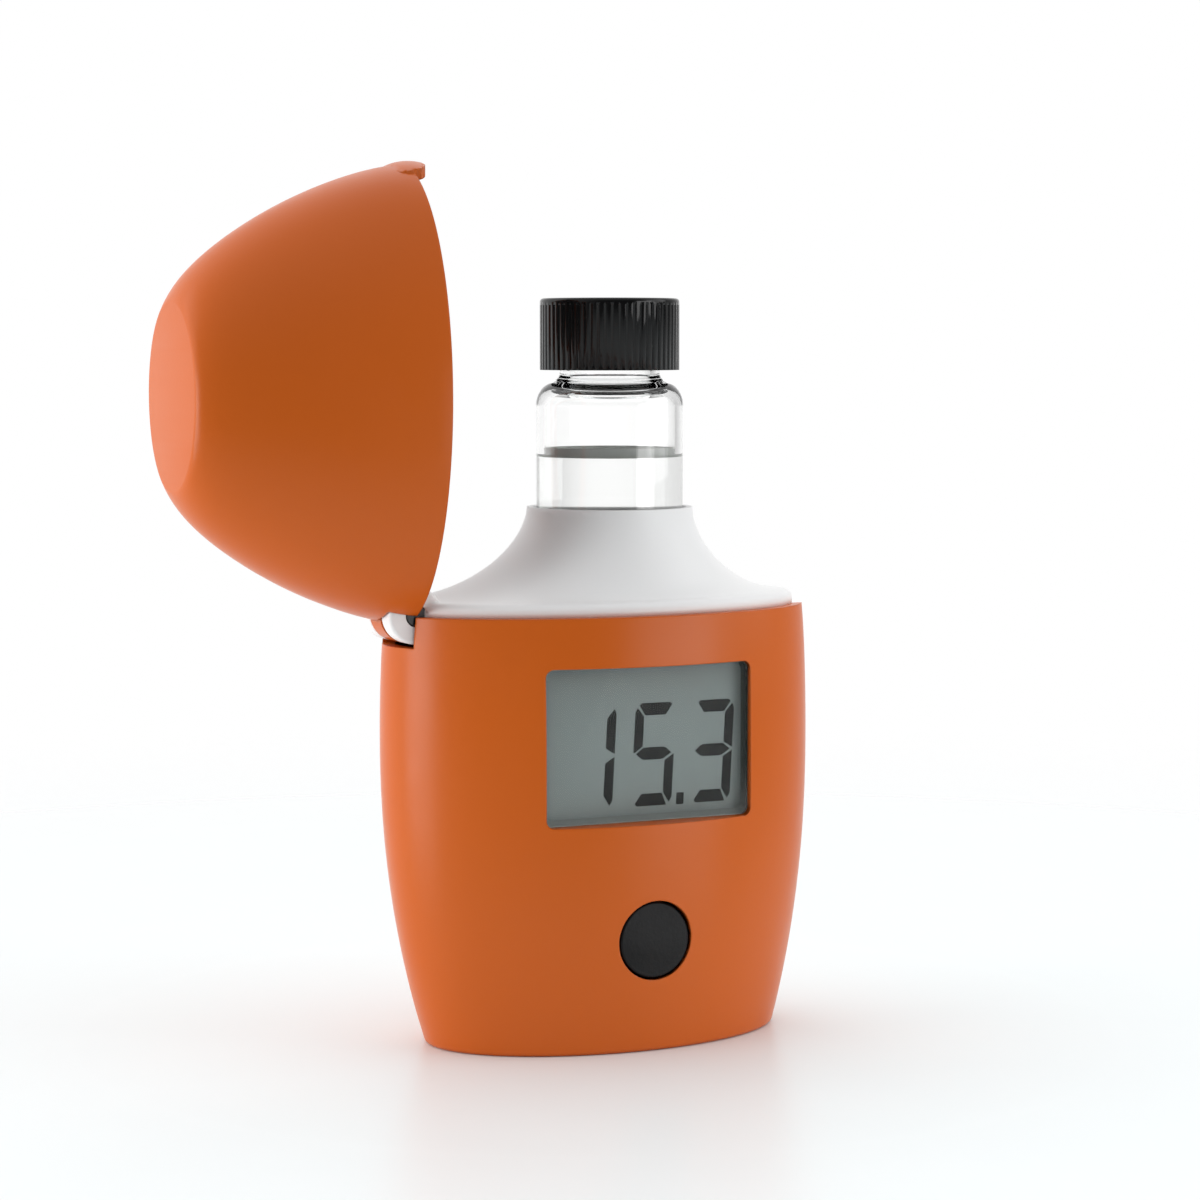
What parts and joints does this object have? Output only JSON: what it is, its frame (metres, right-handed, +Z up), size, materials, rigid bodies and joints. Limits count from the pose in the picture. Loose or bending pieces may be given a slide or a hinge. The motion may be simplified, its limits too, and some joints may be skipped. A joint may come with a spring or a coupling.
{
  "type": "portable colorimeter",
  "caption": "Egg-shaped pocket meter with a flip lid over a capped glass cuvette in a round well, a numeric display and a push button.",
  "frame": {"origin": "on the face that rests on the bench, under the middle of the rim that the lid closes on", "axes": "+Z up along the cuvette; the display and button face -Y; the lid's hinge is on the -X side with its axis along Y; the model stands with its lid open"},
  "size_m": [0.0888, 0.036, 0.1145],
  "materials": {
    "shell_plastic": "satin",
    "holder_plastic": "satin",
    "liner_plastic": "matt",
    "black_plastic": "satin",
    "button_plastic": "matt",
    "cover_plastic": "fine grain",
    "cap_plastic": "gloss",
    "chip_plastic": "matt",
    "ring_rubber": "matt",
    "foam_liner": "matt",
    "circuit_board": "lacquered",
    "flex_film": "satin",
    "lcd_glass": "gloss",
    "clear_pane": "gloss",
    "cuvette_glass": "gloss",
    "sample_water": "gloss",
    "filter_glass": "gloss",
    "lamp_resin": "clear resin",
    "cell_can": "satin",
    "contact_metal": "nickel plated",
    "screw_steel": "zinc plated"
  },
  "bodies": {
    "housing": {"body_shell": "shell_plastic", "cuvette_holder": "holder_plastic", "well_seal_ring": "ring_rubber", "hinge_pin": "black_plastic", "display_window": "clear_pane", "lcd_bezel": "black_plastic", "lcd_panel": "lcd_glass", "lcd_connectors": "ring_rubber", "main_board": "circuit_board", "board_chips": "chip_plastic", "button_switch": "chip_plastic", "led_lamp": "lamp_resin", "light_filter": "filter_glass", "photodiode": "chip_plastic", "detector_board": "circuit_board", "detector_flex": "flex_film", "battery_cell": "cell_can", "battery_spring": "contact_metal", "contact_leaf": "contact_metal", "chassis_screws": "screw_steel", "board_screws": "screw_steel", "detector_screws": "screw_steel"},
    "lid": {"lid_shell": "shell_plastic", "lid_liner": "liner_plastic"},
    "cuvette": {"cuvette_glass": "cuvette_glass", "sample_liquid": "sample_water"},
    "cap_seal": {"cap_liner": "foam_liner"},
    "cap": {"cuvette_cap": "cap_plastic"},
    "button": {"button_cap": "button_plastic", "switch_plunger": "black_plastic"},
    "battery_cover": {"battery_cover": "cover_plastic", "cover_ring": "ring_rubber", "battery_contact": "contact_metal"}
  },
  "joints": [
    {"name": "lid_hinge", "type": "hinge", "parent": "housing", "child": "lid", "pos_m": [-0.02795, 0, 0.0567], "axis": [0, 1, 0], "range_deg": [0, 90]},
    {"name": "cuvette_slide", "type": "slide", "parent": "housing", "child": "cuvette", "axis": [0, 0, 1], "range_m": [-0.0173, 0]},
    {"name": "cap_lift", "type": "slide", "parent": "cuvette", "child": "cap_seal", "axis": [0, 0, 1], "range_m": [0, 0.00265]},
    {"name": "cap_turn", "type": "hinge", "parent": "cap_seal", "child": "cap", "pos_m": [0.0019, 0, 0.0912], "axis": [0, 0, 1], "range_deg": [0, 450]},
    {"name": "button_press", "type": "slide", "parent": "housing", "child": "button", "axis": [0, 1, 0], "range_m": [0, 0.00035], "stiffness_N_per_m": 300},
    {"name": "battery_cover_turn", "type": "hinge", "parent": "housing", "child": "battery_cover", "pos_m": [-0.0156, 0, 0.002], "axis": [0, 0, -1], "range_deg": [0, 60]}
  ],
  "couplings": [
    {"joint": "lid_hinge", "follows": "cuvette_slide", "rad_per_m": -90.797},
    {"joint": "cap_turn", "follows": "cap_lift", "rad_per_m": 2968.4}
  ]
}
